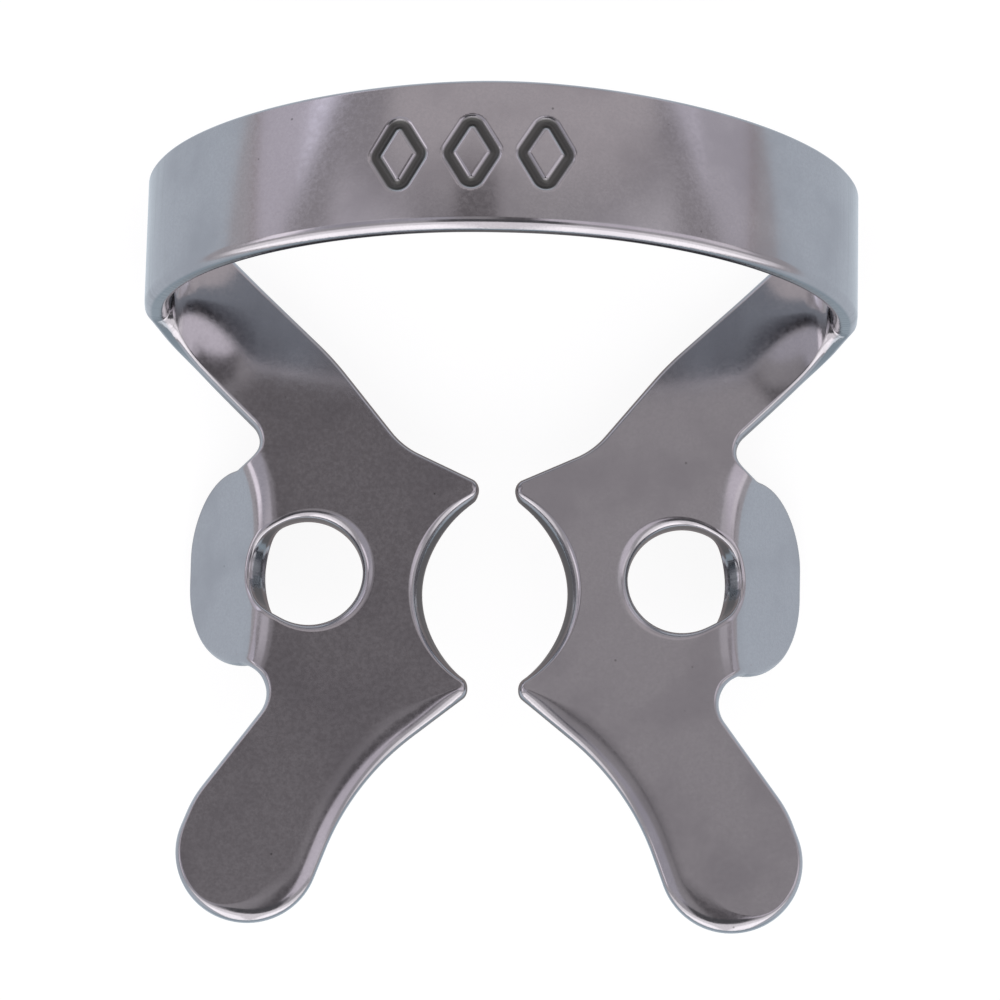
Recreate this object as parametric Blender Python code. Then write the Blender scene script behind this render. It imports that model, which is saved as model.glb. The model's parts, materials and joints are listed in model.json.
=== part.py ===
"""Rubber dam clamp: one blank of spring steel sheet, pierced, stamped, tumbled and folded.

The clamp is drawn flat, as the die cuts it, and then folded. Sizes are in metres.
Plate coordinates: X out from the middle of the clamp, Y towards the bow, both on a jaw's flat plate,
with Y = 0 at the forceps holes. Past the foot's fold they run on up the leg, as if it lay flat.
Blank coordinates: along the strip from the crown of the bow, and across it.
"""

import math

import bmesh
import bpy
import numpy as np

MM = 0.001

# Sheet
SHEET = 0.64 * MM
EDGE_RADIUS = 0.27 * MM
EDGE_STEPS = 1

# Bow, as an arch in a plane that leans back from the jaws
BOW_HALF_WIDTH = 8.88 * MM
BOW_HEIGHT = 8.8 * MM
BOW_LEAN = math.radians(4.5)
BOW_SHOULDER = 0.022
BOW_START = 1.9 * MM
BOW_FRONT_AT_FOOT = 6.38 * MM
BOW_FRONT_AT_CROWN = 6.24 * MM
BOW_BACK_AT_FOOT = 10.07 * MM
BOW_BACK_AT_CROWN = 10.27 * MM
CROWN_BLEND = 60 * MM
BOW_CUTS = 22

# Foot, where each leg of the bow folds into its arm
FOOT_RADIUS = 0.8 * MM
FOOT_FRONT_RISE = 0.42 * MM
FOOT_FRONT_CORNER = 1.2 * MM
FOOT_BACK_RISE = 0.37 * MM
FOOT_BACK_CORNER = 2.0 * MM
FOOT_CUTS = 9

# Curl, by which the front side of each arm rises ahead of the fold
CURL = 0.55 * MM
CURL_START = 6.0 * MM
CURL_END = 1.25 * MM
CURL_FRONT_FADE = 3.0 * MM
CURL_REAR = 9.8 * MM
CURL_REAR_FADE = 2.8 * MM
CURL_CUTS = 5

# Wing, the tab that folds down at the outer side of each jaw
WING_START = 5.45 * MM
WING_RADIUS = 0.65 * MM
WING_ANGLE = math.radians(51)
WING_REACH = 2.47 * MM
WING_REAR = 2.8 * MM
WING_FRONT = -2.55 * MM
WING_FRONT_TIP = -2.15 * MM
WING_REAR_CORNER = 2.3 * MM
WING_FRONT_CORNER = 2.5 * MM
NOTCH_FRONT_IN = 0.36 * MM
NOTCH_FRONT_RADIUS = 0.87 * MM
NOTCH_REAR_IN = 0.2 * MM
NOTCH_REAR_RADIUS = 0.73 * MM
WING_RUN_OUT = 0.8 * MM
WING_RUN_OUT_AT = 3.55 * MM
WING_CUT_SPACING = 0.16 * MM
WING_CROSS_CUTS = 12

# Forceps hole
HOLE_RADIUS = 1.42 * MM
HOLE_OUT = 4.83 * MM
HOLE_CORNERS = 28

# Gripping edge, a hollow between two points, bevelled to meet the tooth at its lower side
GRIP_RADIUS = 2.8 * MM
GRIP_BEVEL = 0.3 * MM
GRIP_BEVEL_END = 2.6 * MM
POINT_RADIUS = EDGE_RADIUS + 0.03 * MM

# Paddle, the round front end of each jaw, splayed outward
PADDLE_OUT = 6.17 * MM
PADDLE_BACK = -7.39 * MM
PADDLE_SPLAY = math.radians(20.5)
PADDLE_HALF_WIDTH = 1.84 * MM

# Stamped marks on the crown: three lozenges, off centre
MARK_COUNT = 3
MARK_PITCH = 1.82 * MM
MARK_HALF_WIDTH = 0.6 * MM
MARK_HALF_HEIGHT = 1.03 * MM
MARK_SHIFT = -0.8 * MM
MARK_STROKE_RADIUS = 0.17 * MM
MARK_CORNER_RADIUS = MARK_STROKE_RADIUS + 0.04 * MM
MARK_DEPTH = 0.1 * MM

# Steps along the softly starting path of each bend
BEND_STEPS = 500


def ease(share):
    """0 below 0, 1 above 1, and a smooth step between."""
    share = np.clip(share, 0, 1)
    return share ** 2 * (3 - 2 * share)


def bend_path(radius, angle):
    """A bend that starts and ends softly: the sheet's length through it, run, rise and turn so far.

    The radius is the tightest one, halfway through.
    """
    share = np.linspace(0, 1, BEND_STEPS)
    turn = angle * ease(share)
    length = 1.5 * radius * angle * share
    step = np.diff(length)
    middle = (turn[1:] + turn[:-1]) / 2
    run = np.concatenate([[0], np.cumsum(step * np.cos(middle))])
    rise = np.concatenate([[0], np.cumsum(step * np.sin(middle))])
    return length, run, rise, turn


FOOT_PATH = bend_path(FOOT_RADIUS, math.pi / 2)
FOOT_LENGTH = FOOT_PATH[0][-1]
FOOT_START = BOW_HALF_WIDTH - FOOT_PATH[1][-1]
WING_PATH = bend_path(WING_RADIUS, WING_ANGLE)
WING_LENGTH = WING_PATH[0][-1]
WING_TIP = WING_START + WING_LENGTH + WING_REACH

# Where the leg's height is counted from, in plate coordinates
LEG_ZERO = FOOT_START + FOOT_LENGTH - FOOT_PATH[2][-1]


def paddle_corner(side):
    """The paddle's corner on its inner (-1) or outer (1) side, rounded so that the two make its nose."""
    nose = np.array([math.sin(PADDLE_SPLAY), -math.cos(PADDLE_SPLAY)])
    outward = np.array([math.cos(PADDLE_SPLAY), math.sin(PADDLE_SPLAY)])
    out, back = (PADDLE_OUT, PADDLE_BACK) + PADDLE_HALF_WIDTH * (nose + side * outward)
    return out, back, PADDLE_HALF_WIDTH


# Corners of one jaw's outline in plate coordinates: out, back and the radius that rounds it
INNER_CORNERS = [
    (LEG_ZERO + FOOT_BACK_RISE, BOW_BACK_AT_FOOT, FOOT_BACK_CORNER),
    (4.3 * MM, 5.72 * MM, 8.0 * MM),
    (2.45 * MM, 3.41 * MM, 2.0 * MM),
    (0.14 * MM, 2.33 * MM, POINT_RADIUS),
    (4.53 * MM, -0.42 * MM, GRIP_RADIUS),
    (0.44 * MM, -2.98 * MM, POINT_RADIUS),
    (3.5 * MM, -5.45 * MM, 7.0 * MM),
    paddle_corner(-1),
]
GRIP_CORNER = 4
OUTER_CORNERS = [
    paddle_corner(1),
    (7.6 * MM, -6.02 * MM, 3.0 * MM),
    (WING_START - NOTCH_FRONT_IN, WING_FRONT, NOTCH_FRONT_RADIUS),
    (WING_TIP, WING_FRONT_TIP, WING_FRONT_CORNER),
    (WING_TIP, WING_REAR, WING_REAR_CORNER),
    (WING_START - NOTCH_REAR_IN, WING_REAR, NOTCH_REAR_RADIUS),
    (LEG_ZERO + FOOT_FRONT_RISE, BOW_FRONT_AT_FOOT, FOOT_FRONT_CORNER),
]
ARM_SPLIT = 4.2 * MM
ARC_STEP = math.radians(15)
WELD = 0.001 * MM

STEEL = (0.42, 0.41, 0.425, 1)
STEEL_ROUGHNESS = 0.18


def bow_arch():
    """Arc length along the arch from its start to its crown, with the half width and rise there."""
    rise = (BOW_HEIGHT - SHEET / 2) / math.cos(BOW_LEAN) - BOW_START
    angle = np.linspace(0, math.pi / 2, 3000)
    draw_in = 1 - BOW_SHOULDER * np.sin(2 * angle) ** 2
    out = BOW_HALF_WIDTH * np.cos(angle) * draw_in
    up = rise * np.sin(angle) * draw_in
    length = np.concatenate([[0], np.cumsum(np.hypot(np.diff(out), np.diff(up)))])
    return length, out, up


ARCH_LENGTH, ARCH_OUT, ARCH_UP = bow_arch()
HALF_BOW = ARCH_LENGTH[-1]


def plate_to_blank(out, back):
    height = out - LEG_ZERO
    up = back * math.sin(BOW_LEAN) + height * math.cos(BOW_LEAN)
    across = back * math.cos(BOW_LEAN) - height * math.sin(BOW_LEAN)
    return HALF_BOW + BOW_START - up, across


def blank_to_plate(along, across):
    up = HALF_BOW + BOW_START - along
    height = up * math.cos(BOW_LEAN) - across * math.sin(BOW_LEAN)
    return LEG_ZERO + height, across * math.cos(BOW_LEAN) + up * math.sin(BOW_LEAN)


def corner_sides(corners, index):
    """One corner of an outline, the sides that leave it as vectors, and half the angle between them."""
    corner = np.array(corners[index][:2])
    before = np.array(corners[index - 1][:2]) - corner
    after = np.array(corners[(index + 1) % len(corners)][:2]) - corner
    cosine = before @ after / np.linalg.norm(before) / np.linalg.norm(after)
    return corner, before, after, math.acos(np.clip(cosine, -1, 1)) / 2


def fillet_reach(corners, index):
    """How far along its two sides a corner's fillet runs."""
    return corners[index][2] / math.tan(corner_sides(corners, index)[3])


def fitted_radius(corners, index):
    """The corner's radius, smaller where its fillet and a neighbour's would overlap on their side."""
    _, before, after, _ = corner_sides(corners, index)
    own = fillet_reach(corners, index)
    share = 1.0
    for side, neighbour in ((before, index - 1), (after, (index + 1) % len(corners))):
        share = min(share, np.linalg.norm(side) / (own + fillet_reach(corners, neighbour)))
    return corners[index][2] * share


def corner_arc(corners, index):
    """The centre of the arc that rounds one corner, and the arc's two ends seen from there."""
    corner, before, after, half = corner_sides(corners, index)
    radius = fitted_radius(corners, index)
    before /= np.linalg.norm(before)
    after /= np.linalg.norm(after)
    middle = (before + after) / np.linalg.norm(before + after)
    centre = corner + middle * radius / math.sin(half)
    first = corner + before * radius / math.tan(half) - centre
    last = corner + after * radius / math.tan(half) - centre
    return centre, first, last


def rounded(corners):
    """Points of a closed outline through these corners, each turned into an arc of its radius."""
    points = []
    for index in range(len(corners)):
        centre, first, last = corner_arc(corners, index)
        turn = math.atan2(first[0] * last[1] - first[1] * last[0], first @ last)
        steps = max(2, math.ceil(abs(turn) / ARC_STEP))
        start = math.atan2(first[1], first[0])
        for step in range(steps + 1):
            angle = start + turn * step / steps
            spoke = np.array([math.cos(angle), math.sin(angle)])
            points.append(centre + np.linalg.norm(first) * spoke)
    return points


def blank_outline():
    """The whole blank's corners: the right jaw's, and the same ones mirrored for the left."""
    jaw = INNER_CORNERS + OUTER_CORNERS
    right = [(*plate_to_blank(out, back), radius) for out, back, radius in jaw]
    left = [(-along, across, radius) for along, across, radius in reversed(right)]
    rear_middle = (0, BOW_BACK_AT_CROWN, CROWN_BLEND)
    front_middle = (0, BOW_FRONT_AT_CROWN, CROWN_BLEND)
    return rounded([rear_middle, *right, front_middle, *left])


def hole_outline(side):
    along, across = plate_to_blank(HOLE_OUT, 0)
    angles = [2 * math.pi * step / HOLE_CORNERS for step in range(HOLE_CORNERS)]
    return [
        (side * (along + HOLE_RADIUS * math.cos(angle)), across + HOLE_RADIUS * math.sin(angle))
        for angle in angles
    ]


def mark_outlines():
    """The centre lines of the stamped marks, in blank coordinates."""
    across = (BOW_FRONT_AT_CROWN + BOW_BACK_AT_CROWN) / 2
    for index in range(MARK_COUNT):
        along = MARK_SHIFT + MARK_PITCH * (index - (MARK_COUNT - 1) / 2)
        yield rounded([
            (along - MARK_HALF_WIDTH, across, MARK_CORNER_RADIUS),
            (along, across - MARK_HALF_HEIGHT, MARK_CORNER_RADIUS),
            (along + MARK_HALF_WIDTH, across, MARK_CORNER_RADIUS),
            (along, across + MARK_HALF_HEIGHT, MARK_CORNER_RADIUS),
        ])


def add_ring(curve, points, height=0.0):
    spline = curve.splines.new("POLY")
    spline.points.add(len(points) - 1)
    for point, (x, y) in zip(spline.points, points):
        point.co = (x, y, height, 1)
    spline.use_cyclic_u = True


def curve_mesh(name, curve):
    """The curve's surface as a welded mesh."""
    guide = bpy.data.objects.new(name, curve)
    bpy.context.scene.collection.objects.link(guide)
    graph = bpy.context.evaluated_depsgraph_get()
    mesh = bpy.data.meshes.new_from_object(guide.evaluated_get(graph))
    mesh.name = name
    bpy.data.objects.remove(guide)
    work = bmesh.new()
    work.from_mesh(mesh)
    bmesh.ops.remove_doubles(work, verts=work.verts, dist=WELD)
    bmesh.ops.recalc_face_normals(work, faces=work.faces)
    work.to_mesh(mesh)
    work.free()
    return mesh


def flat_blank():
    """The blank as the die leaves it: a flat sheet with two holes and rounded edges."""
    curve = bpy.data.curves.new("blank", "CURVE")
    curve.dimensions = "2D"
    curve.fill_mode = "BOTH"
    curve.extrude = SHEET / 2 - EDGE_RADIUS
    curve.bevel_depth = EDGE_RADIUS
    curve.bevel_resolution = EDGE_STEPS
    curve.offset = -EDGE_RADIUS
    add_ring(curve, blank_outline())
    for side in (-1, 1):
        add_ring(curve, hole_outline(side))
    return curve_mesh("clamp_body", curve)


def bend_lines():
    """A point and a direction, in blank coordinates, for each line where a bend needs an edge."""
    for step in range(BOW_CUTS + 1):
        yield (HALF_BOW * step / BOW_CUTS, 0), (0, 1)
    folds = [FOOT_START + FOOT_LENGTH * step / FOOT_CUTS for step in range(FOOT_CUTS + 1)]
    folds += list(np.linspace(CURL_START, FOOT_START, CURL_CUTS, endpoint=False))
    wing_end = WING_START + WING_RUN_OUT + WING_LENGTH
    folds += list(np.arange(WING_START, wing_end, WING_CUT_SPACING))
    for out in folds:
        yield plate_to_blank(out, 0), (math.sin(BOW_LEAN), math.cos(BOW_LEAN))
    span = 2 * WING_RUN_OUT_AT
    for step in range(WING_CROSS_CUTS + 1):
        back = -WING_RUN_OUT_AT + span * step / WING_CROSS_CUTS
        yield plate_to_blank(0, back), (math.cos(BOW_LEAN), -math.sin(BOW_LEAN))


def cut_bend_lines(mesh):
    work = bmesh.new()
    work.from_mesh(mesh)
    for (along, across), (dx, dy) in bend_lines():
        for side in (-1, 1):
            geometry = [*work.verts, *work.edges, *work.faces]
            spot = (side * along, across, 0)
            normal = (side * dy, -dx, 0)
            bmesh.ops.bisect_plane(work, geom=geometry, dist=WELD, plane_co=spot, plane_no=normal)
    work.to_mesh(mesh)
    work.free()


def bevel_grip(points):
    """Draws the lower side of each gripping edge out, so that the edge slopes towards the tooth."""
    out, back = blank_to_plate(np.abs(points[:, 0]), points[:, 1])
    (centre_out, centre_back), rim, _ = corner_arc(INNER_CORNERS, GRIP_CORNER)
    away = np.hypot(out - centre_out, back - centre_back)
    end = np.abs(back - centre_back) / GRIP_BEVEL_END
    near = (np.abs(away - np.linalg.norm(rim)) < 2 * EDGE_RADIUS) & (end < 1)
    fade = 1 - end ** 4
    depth = (SHEET / 2 - points[:, 2]) / SHEET
    shift = np.where(near, GRIP_BEVEL * fade * depth / np.maximum(away, MM), 0)
    out = out + (centre_out - out) * shift
    back = back + (centre_back - back) * shift
    along, across = plate_to_blank(out, back)
    return np.stack([np.copysign(along, points[:, 0]), across, points[:, 2]], axis=1)


def through_bend(distance, path):
    """How far out and up a bend takes a point of the sheet's middle, and how far it has turned there."""
    length, run, rise, turn = path
    inside = np.clip(distance, 0, length[-1])
    over = np.maximum(distance - length[-1], 0)
    out = np.interp(inside, length, run) + np.minimum(distance, 0) + over * math.cos(turn[-1])
    up = np.interp(inside, length, rise) + over * math.sin(turn[-1])
    return out, up, np.interp(inside, length, turn)


def curl(out, back):
    """How far the front side of each arm curls up ahead of its fold, as a pressed bend does."""
    top = FOOT_START + FOOT_LENGTH / 2
    rise = ease((out - CURL_START) / (top - CURL_START))
    fall = ease((LEG_ZERO + CURL_END - out) / (LEG_ZERO + CURL_END - top))
    front = ease((back - ARM_SPLIT) / CURL_FRONT_FADE)
    rear = ease((CURL_REAR - back) / CURL_REAR_FADE)
    return CURL * rise * fall * front * rear


def fold(points):
    """Where the fold takes each point of the flat blank, in plate coordinates with Z up."""
    along = np.abs(points[:, 0])
    across = points[:, 1]
    height = points[:, 2]
    out, back = blank_to_plate(along, across)

    # Wing, down, on a bend that runs out into the notches beside it
    start = WING_START + WING_RUN_OUT * (back / WING_RUN_OUT_AT) ** 4
    run, drop, turn = through_bend(out - start, WING_PATH)
    wing_out = start + run + height * np.sin(turn)
    wing_up = height * np.cos(turn) - drop
    has_wing = np.abs(back) < WING_RUN_OUT_AT + EDGE_RADIUS

    # Foot, up into the leg
    run, rise, turn = through_bend(out - FOOT_START, FOOT_PATH)
    foot_out = FOOT_START + run - height * np.sin(turn)
    foot_up = rise + height * np.cos(turn) + curl(out, back)
    has_foot = back > ARM_SPLIT

    x = np.where(has_foot, foot_out, np.where(has_wing, wing_out, out))
    y = back.copy()
    z = np.where(has_foot, foot_up, np.where(has_wing, wing_up, height))

    # Bow, round the arch
    run = HALF_BOW - along
    slope_out = np.interp(run, ARCH_LENGTH, np.gradient(ARCH_OUT, ARCH_LENGTH))
    slope_up = np.interp(run, ARCH_LENGTH, np.gradient(ARCH_UP, ARCH_LENGTH))
    bow_out = np.interp(run, ARCH_LENGTH, ARCH_OUT) - slope_up * height
    bow_up = BOW_START + np.interp(run, ARCH_LENGTH, ARCH_UP) + slope_out * height
    on_bow = run > 0
    x = np.where(on_bow, bow_out, x)
    y = np.where(on_bow, across * math.cos(BOW_LEAN) + bow_up * math.sin(BOW_LEAN), y)
    z = np.where(on_bow, bow_up * math.cos(BOW_LEAN) - across * math.sin(BOW_LEAN), z)
    return np.stack([np.where(points[:, 0] < 0, -x, x), y, z], axis=1)


def read_points(mesh):
    points = np.empty(len(mesh.vertices) * 3, np.float32)
    mesh.vertices.foreach_get("co", points)
    return points.reshape(-1, 3).astype(float)


def fold_mesh(mesh, points):
    """Folds a flat mesh. The blank is drawn from below, so folding it turns its faces round."""
    mesh.vertices.foreach_set("co", fold(points).astype(np.float32).ravel())
    mesh.flip_normals()
    mesh.update()


def rest_tilt(points):
    """The turn about X that brings the feet's heels and the wings down onto one surface."""
    rear = points[points[:, 1] > ARM_SPLIT]
    front = points[points[:, 1] <= ARM_SPLIT]
    low, high = -math.radians(40), 0.0
    for _ in range(50):
        tilt = (low + high) / 2
        rear_low = (rear[:, 1] * math.sin(tilt) + rear[:, 2] * math.cos(tilt)).min()
        front_low = (front[:, 1] * math.sin(tilt) + front[:, 2] * math.cos(tilt)).min()
        if rear_low < front_low:
            low = tilt
        else:
            high = tilt
    return tilt


def steel():
    material = bpy.data.materials.new("spring_steel")
    material.use_nodes = True
    shader = material.node_tree.nodes["Principled BSDF"]
    shader.inputs["Base Color"].default_value = STEEL
    shader.inputs["Metallic"].default_value = 1
    shader.inputs["Roughness"].default_value = STEEL_ROUGHNESS
    return material


def add_object(name, mesh, collection, parent):
    item = bpy.data.objects.new(name, mesh)
    item.parent = parent
    collection.objects.link(item)
    return item


def mark_cutter(collection, parent):
    """The punch that stamps the marks: rods along their outlines, folded with the sheet."""
    curve = bpy.data.curves.new("mark_punch", "CURVE")
    curve.dimensions = "3D"
    curve.bevel_depth = MARK_STROKE_RADIUS
    curve.bevel_resolution = 2
    for outline in mark_outlines():
        add_ring(curve, outline, MARK_DEPTH - MARK_STROKE_RADIUS - SHEET / 2)
    mesh = curve_mesh("mark_punch", curve)
    fold_mesh(mesh, read_points(mesh))
    punch = add_object("mark_punch", mesh, collection, parent)
    punch.hide_render = True
    punch.display_type = "WIRE"
    return punch


def build():
    for item in list(bpy.data.objects):
        bpy.data.objects.remove(item)
    parts = bpy.data.collections.new("rubber_dam_clamp")
    cutters = bpy.data.collections.new("cutters")
    for collection in (parts, cutters):
        bpy.context.scene.collection.children.link(collection)

    mesh = flat_blank()
    cut_bend_lines(mesh)
    fold_mesh(mesh, bevel_grip(read_points(mesh)))
    points = read_points(mesh)

    tilt = rest_tilt(points)
    depth = points[:, 1] * math.cos(tilt) - points[:, 2] * math.sin(tilt)
    level = points[:, 1] * math.sin(tilt) + points[:, 2] * math.cos(tilt)
    frame = add_object("clamp_at_rest", None, parts, None)
    frame.rotation_euler = (tilt, 0, 0)
    frame.location = (0, -(depth.min() + depth.max()) / 2, -level.min())

    body = add_object("clamp_body", mesh, parts, frame)
    mesh.materials.append(steel())
    stamp = body.modifiers.new("stamp", "BOOLEAN")
    stamp.operation = "DIFFERENCE"
    stamp.object = mark_cutter(cutters, frame)
    mesh.shade_smooth()
    mesh.set_sharp_from_angle(angle=math.radians(50))


build()
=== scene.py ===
"""Looks of the rubber dam clamp: rounded edges, smooth folds and stamped marks, in polished steel.

The sheet is drawn flat and folded, as the solid is, with the same sizes and far finer steps.
Sizes are in metres. Plate coordinates: X out from the middle of the clamp, Y towards the bow, both on
a jaw's flat plate, with Y = 0 at the forceps holes. Past the foot's fold they run on up the leg.
Blank coordinates: along the strip from the crown of the bow, and across it.
"""

import json
import math

import bpy
import numpy as np
from mathutils import Matrix, Vector, geometry

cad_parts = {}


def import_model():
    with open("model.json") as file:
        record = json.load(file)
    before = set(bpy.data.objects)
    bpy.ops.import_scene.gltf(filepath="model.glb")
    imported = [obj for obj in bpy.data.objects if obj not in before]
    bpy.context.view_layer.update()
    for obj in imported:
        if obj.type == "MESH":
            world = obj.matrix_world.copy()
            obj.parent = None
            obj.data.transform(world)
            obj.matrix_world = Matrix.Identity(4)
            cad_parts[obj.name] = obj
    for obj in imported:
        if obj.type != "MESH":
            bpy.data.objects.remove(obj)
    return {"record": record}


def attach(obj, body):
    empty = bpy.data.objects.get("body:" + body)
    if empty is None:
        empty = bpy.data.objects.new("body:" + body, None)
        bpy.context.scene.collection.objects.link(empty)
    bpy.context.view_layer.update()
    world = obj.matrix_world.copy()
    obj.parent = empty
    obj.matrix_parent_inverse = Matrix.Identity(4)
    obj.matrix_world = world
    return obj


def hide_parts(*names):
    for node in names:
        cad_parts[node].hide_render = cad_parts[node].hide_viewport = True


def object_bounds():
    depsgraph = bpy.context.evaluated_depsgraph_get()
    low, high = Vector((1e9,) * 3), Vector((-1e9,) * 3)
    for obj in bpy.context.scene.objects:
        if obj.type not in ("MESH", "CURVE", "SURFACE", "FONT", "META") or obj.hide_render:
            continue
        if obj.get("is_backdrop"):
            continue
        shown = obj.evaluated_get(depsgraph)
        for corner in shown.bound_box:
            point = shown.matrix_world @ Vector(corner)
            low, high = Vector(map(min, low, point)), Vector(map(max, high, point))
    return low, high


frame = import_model()
cad_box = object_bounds()

MM = 0.001

# Sheet
SHEET = 0.64 * MM
EDGE_RADIUS = 0.27 * MM

# Bow, as an arch in a plane that leans back from the jaws
BOW_HALF_WIDTH = 8.88 * MM
BOW_HEIGHT = 8.8 * MM
BOW_LEAN = math.radians(4.5)
BOW_SHOULDER = 0.022
BOW_START = 1.9 * MM
BOW_FRONT_AT_FOOT = 6.38 * MM
BOW_FRONT_AT_CROWN = 6.24 * MM
BOW_BACK_AT_FOOT = 10.07 * MM
BOW_BACK_AT_CROWN = 10.27 * MM
CROWN_BLEND = 60 * MM

# Foot, where each leg of the bow folds into its arm
FOOT_RADIUS = 0.8 * MM
FOOT_FRONT_RISE = 0.42 * MM
FOOT_FRONT_CORNER = 1.2 * MM
FOOT_BACK_RISE = 0.37 * MM
FOOT_BACK_CORNER = 2.0 * MM

# Curl, by which the front side of each arm rises ahead of the fold
CURL = 0.55 * MM
CURL_START = 6.0 * MM
CURL_END = 1.25 * MM
CURL_FRONT_FADE = 3.0 * MM
CURL_REAR = 9.8 * MM
CURL_REAR_FADE = 2.8 * MM

# Wing, the tab that folds down at the outer side of each jaw
WING_START = 5.45 * MM
WING_RADIUS = 0.65 * MM
WING_ANGLE = math.radians(51)
WING_REACH = 2.47 * MM
WING_REAR = 2.8 * MM
WING_FRONT = -2.55 * MM
WING_FRONT_TIP = -2.15 * MM
WING_REAR_CORNER = 2.3 * MM
WING_FRONT_CORNER = 2.5 * MM
NOTCH_FRONT_IN = 0.36 * MM
NOTCH_FRONT_RADIUS = 0.87 * MM
NOTCH_REAR_IN = 0.2 * MM
NOTCH_REAR_RADIUS = 0.73 * MM
WING_RUN_OUT = 0.8 * MM
WING_RUN_OUT_AT = 3.55 * MM

# Forceps hole
HOLE_RADIUS = 1.42 * MM
HOLE_OUT = 4.83 * MM

# Gripping edge, a hollow between two points, bevelled to meet the tooth at its lower side
GRIP_RADIUS = 2.8 * MM
GRIP_BEVEL = 0.3 * MM
GRIP_BEVEL_END = 2.6 * MM
GRIP_BEVEL_DEPTH = 2 * EDGE_RADIUS
POINT_RADIUS = EDGE_RADIUS + 0.03 * MM

# Paddle, the round front end of each jaw, splayed outward
PADDLE_OUT = 6.17 * MM
PADDLE_BACK = -7.39 * MM
PADDLE_SPLAY = math.radians(20.5)
PADDLE_HALF_WIDTH = 1.84 * MM

# Stamped marks on the crown: three lozenges, off centre
MARK_COUNT = 3
MARK_PITCH = 1.82 * MM
MARK_HALF_WIDTH = 0.6 * MM
MARK_HALF_HEIGHT = 1.03 * MM
MARK_SHIFT = -0.8 * MM
MARK_STROKE_RADIUS = 0.17 * MM
MARK_CORNER_RADIUS = MARK_STROKE_RADIUS + 0.04 * MM
MARK_DEPTH = 0.1 * MM
MARK_LIP = 0.04 * MM
MARK_REACH = MARK_STROKE_RADIUS + MARK_LIP

# Rounding that tumbling and polishing leave on the edges: how far it reaches in from the edge. It reaches
# furthest where the edge faces ROUND_TOWARDS, given as inward and rearward, as the inner front edge of each
# paddle does. At a corner it stays within ROOM_SHARE of the radius, and it widens by at most ROUND_GROWTH
# for each unit along the edge.
ROUND_LEAST = 0.14 * MM
ROUND_MOST = 0.85 * MM
ROUND_GRIP = 0.14 * MM
ROUND_BOW = 0.3 * MM
ROUND_TOWARDS = (0.7, -0.7)
ROUND_GROWTH = 0.35
ROOM_SHARE = 0.9

# Rounding of the forceps holes' rims: its reach at their outer and inner sides, on the upper face and
# below, and how deep it goes for its reach
HOLE_ROUND_OUTER = 0.13 * MM
HOLE_ROUND_INNER = 0.34 * MM
HOLE_ROUND_BELOW = 0.06 * MM
HOLE_ROUND_DROP = 0.75

# Crown that polishing gives the bow's outer face, lower at its two edges than midway
CROWN = 0.055 * MM

# Steps along the softly starting path of each bend, and the slope of ease() at its steepest
BEND_STEPS = 500
EASE_SLOPE = 1.5


def ease(share):
    """0 below 0, 1 above 1, and a smooth step between."""
    share = np.clip(share, 0, 1)
    return share ** 2 * (3 - 2 * share)


def bend_path(radius, angle):
    """A bend that starts and ends softly: the sheet's length through it, run, rise and turn so far.

    The radius is the tightest one, halfway through.
    """
    share = np.linspace(0, 1, BEND_STEPS)
    turn = angle * ease(share)
    length = EASE_SLOPE * radius * angle * share
    step = np.diff(length)
    middle = (turn[1:] + turn[:-1]) / 2
    run = np.concatenate([[0], np.cumsum(step * np.cos(middle))])
    rise = np.concatenate([[0], np.cumsum(step * np.sin(middle))])
    return length, run, rise, turn


FOOT_PATH = bend_path(FOOT_RADIUS, math.pi / 2)
FOOT_LENGTH = FOOT_PATH[0][-1]
FOOT_START = BOW_HALF_WIDTH - FOOT_PATH[1][-1]
WING_PATH = bend_path(WING_RADIUS, WING_ANGLE)
WING_LENGTH = WING_PATH[0][-1]
WING_TIP = WING_START + WING_LENGTH + WING_REACH

# Where the leg's height is counted from, in plate coordinates
LEG_ZERO = FOOT_START + FOOT_LENGTH - FOOT_PATH[2][-1]


def paddle_corner(side):
    """The paddle's corner on its inner (-1) or outer (1) side, rounded so that the two make its nose."""
    nose = np.array([math.sin(PADDLE_SPLAY), -math.cos(PADDLE_SPLAY)])
    outward = np.array([math.cos(PADDLE_SPLAY), math.sin(PADDLE_SPLAY)])
    out, back = (PADDLE_OUT, PADDLE_BACK) + PADDLE_HALF_WIDTH * (nose + side * outward)
    return out, back, PADDLE_HALF_WIDTH


# Corners of one jaw's outline in plate coordinates: out, back and the radius that rounds it
INNER_CORNERS = [
    (LEG_ZERO + FOOT_BACK_RISE, BOW_BACK_AT_FOOT, FOOT_BACK_CORNER),
    (4.3 * MM, 5.72 * MM, 8.0 * MM),
    (2.45 * MM, 3.41 * MM, 2.0 * MM),
    (0.14 * MM, 2.33 * MM, POINT_RADIUS),
    (4.53 * MM, -0.42 * MM, GRIP_RADIUS),
    (0.44 * MM, -2.98 * MM, POINT_RADIUS),
    (3.5 * MM, -5.45 * MM, 7.0 * MM),
    paddle_corner(-1),
]
GRIP_CORNER = 4
OUTER_CORNERS = [
    paddle_corner(1),
    (7.6 * MM, -6.02 * MM, 3.0 * MM),
    (WING_START - NOTCH_FRONT_IN, WING_FRONT, NOTCH_FRONT_RADIUS),
    (WING_TIP, WING_FRONT_TIP, WING_FRONT_CORNER),
    (WING_TIP, WING_REAR, WING_REAR_CORNER),
    (WING_START - NOTCH_REAR_IN, WING_REAR, NOTCH_REAR_RADIUS),
    (LEG_ZERO + FOOT_FRONT_RISE, BOW_FRONT_AT_FOOT, FOOT_FRONT_CORNER),
]
ARM_SPLIT = 4.2 * MM

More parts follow.
